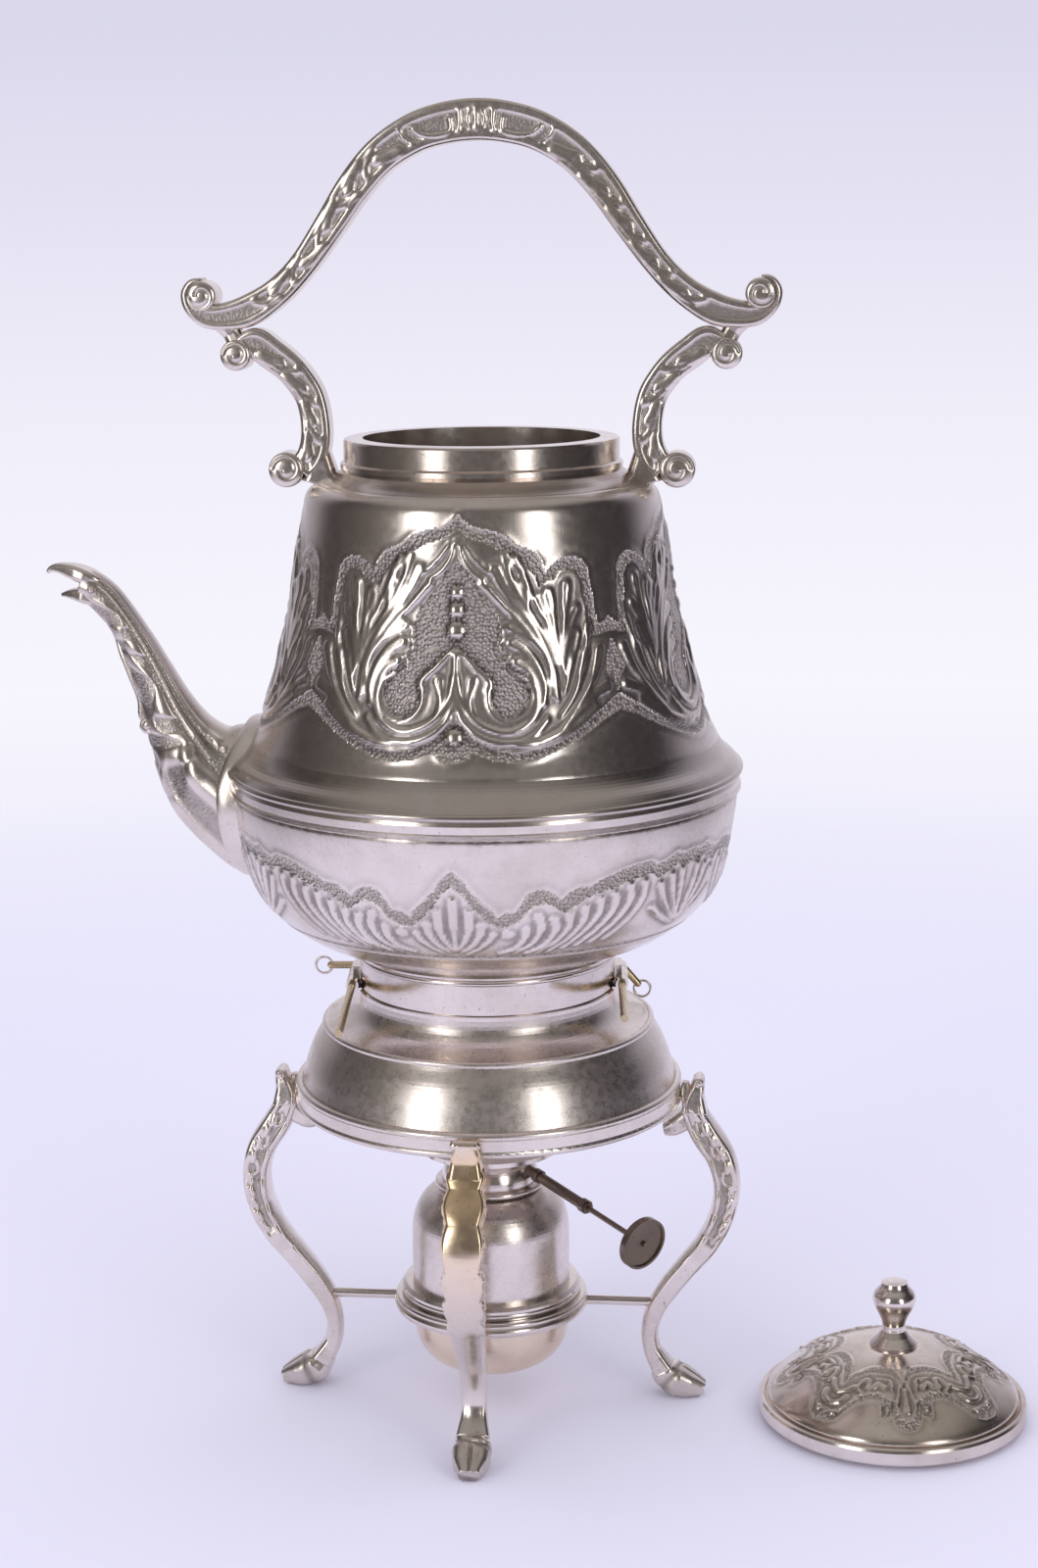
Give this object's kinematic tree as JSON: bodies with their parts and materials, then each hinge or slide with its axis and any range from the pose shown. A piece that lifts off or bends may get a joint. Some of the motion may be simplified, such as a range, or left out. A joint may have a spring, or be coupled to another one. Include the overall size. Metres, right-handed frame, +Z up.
{
  "type": "spirit kettle on stand",
  "caption": "Tipping kettle with arched handle, cast spout and lift-off lid, pinned on a four-legged stand over a spirit burner.",
  "frame": {"origin": "the point on the table under the kettle's axis, midway between the four hooves", "axes": "+Z up, -X towards the spout, -Y towards the leg at the front of the picture"},
  "size_m": [0.3011, 0.1564, 0.4],
  "materials": {
    "worn_silver_plate": "worn silver plate, soft polish with dark tarnish in the hollows",
    "dark_body_plate": "worn silver plate, fine upright brush marks",
    "copper_plate": "plate worn through to a copper pink",
    "pin_brass": "dull brass with worn plate",
    "dark_metal": "dark brown oxidised metal",
    "cotton_wick": "plain woven cotton"
  },
  "bodies": {
    "stand": {"stand_dome": "worn_silver_plate", "stand_rim_band": "worn_silver_plate", "neck_seat_ring": "worn_silver_plate", "leg_right": "worn_silver_plate", "leg_back": "worn_silver_plate", "leg_left": "worn_silver_plate", "leg_front": "worn_silver_plate", "burner_holder_ring": "worn_silver_plate", "stretcher_right": "worn_silver_plate", "stretcher_back": "worn_silver_plate", "stretcher_left": "worn_silver_plate", "stretcher_front": "worn_silver_plate", "hinge_lugs_left": "worn_silver_plate", "pin_lugs_right": "worn_silver_plate"},
    "kettle": {"kettle_upper_shell": "dark_body_plate", "kettle_lower_bowl": "worn_silver_plate", "girdle_band": "worn_silver_plate", "mouth_collar": "worn_silver_plate", "kettle_foot_ring": "worn_silver_plate", "spout": "worn_silver_plate", "spout_flange": "worn_silver_plate", "handle_arch": "worn_silver_plate", "handle_bracket_left": "worn_silver_plate", "handle_bracket_right": "worn_silver_plate", "hinge_knuckle_left": "worn_silver_plate", "pin_saddle_right": "worn_silver_plate"},
    "pin_left": {"retaining_pin_left": "pin_brass"},
    "pin_right": {"retaining_pin_right": "pin_brass"},
    "ring_left": {"pin_ring_left": "worn_silver_plate"},
    "ring_right": {"pin_ring_right": "worn_silver_plate"},
    "burner": {"burner_reservoir": "worn_silver_plate", "burner_base_bowl": "copper_plate", "burner_flange_ring": "worn_silver_plate", "burner_neck_cap": "worn_silver_plate", "burner_top_plate": "worn_silver_plate", "wick_tube": "worn_silver_plate", "winder_sleeve": "dark_metal"},
    "winder": {"winder_spindle": "dark_metal", "winder_knob": "dark_metal", "wick_wheel": "pin_brass"},
    "wick_body": {"wick": "cotton_wick"},
    "lid": {"lid_dome": "worn_silver_plate", "lid_rim_band": "worn_silver_plate", "lid_locating_lip": "worn_silver_plate", "lid_knob": "worn_silver_plate", "lid_knob_nut": "pin_brass"}
  },
  "joints": [
    {"name": "kettle_tilt", "type": "hinge", "parent": "stand", "child": "kettle", "pos_m": [-0.04117, -0.00324, 0.1365], "axis": [0.0785, -0.9969, 0], "range_deg": [0, 55]},
    {"name": "pin_left_draw", "type": "slide", "parent": "stand", "child": "pin_left", "axis": [-0.0785, 0.9969, 0], "range_m": [0, 0.074]},
    {"name": "pin_right_draw", "type": "slide", "parent": "stand", "child": "pin_right", "axis": [-0.0785, 0.9969, 0], "range_m": [0, 0.06]},
    {"name": "ring_left_swing", "type": "hinge", "parent": "pin_left", "child": "ring_left", "pos_m": [-0.05006, 0.009, 0.1365], "axis": [0, 0, -1], "range_deg": [-35, 35]},
    {"name": "ring_right_swing", "type": "hinge", "parent": "pin_right", "child": "ring_right", "pos_m": [0.04522, 0.0165, 0.13045], "axis": [-0.7637, -0.0601, -0.6428], "range_deg": [-35, 35]},
    {"name": "burner_lift", "type": "slide", "parent": "stand", "child": "burner", "axis": [0, 0, 1], "range_m": [0, 0.027]},
    {"name": "winder_turn", "type": "hinge", "parent": "burner", "child": "winder", "pos_m": [0.0037, 0.00366, 0.0775], "axis": [-0.6949, 0.7022, 0.1547], "range_deg": [-75, 150]},
    {"name": "wick_raise", "type": "slide", "parent": "burner", "child": "wick_body", "axis": [0, 0, 1], "range_m": [-0.0028, 0.0056]},
    {"name": "lid_lift", "type": "slide", "parent": "stand", "child": "lid", "axis": [0, 0, 1], "range_m": [0, 0.12]}
  ],
  "couplings": [
    {"joint": "wick_raise", "follows": "winder_turn", "m_per_rad": 0.0021}
  ]
}
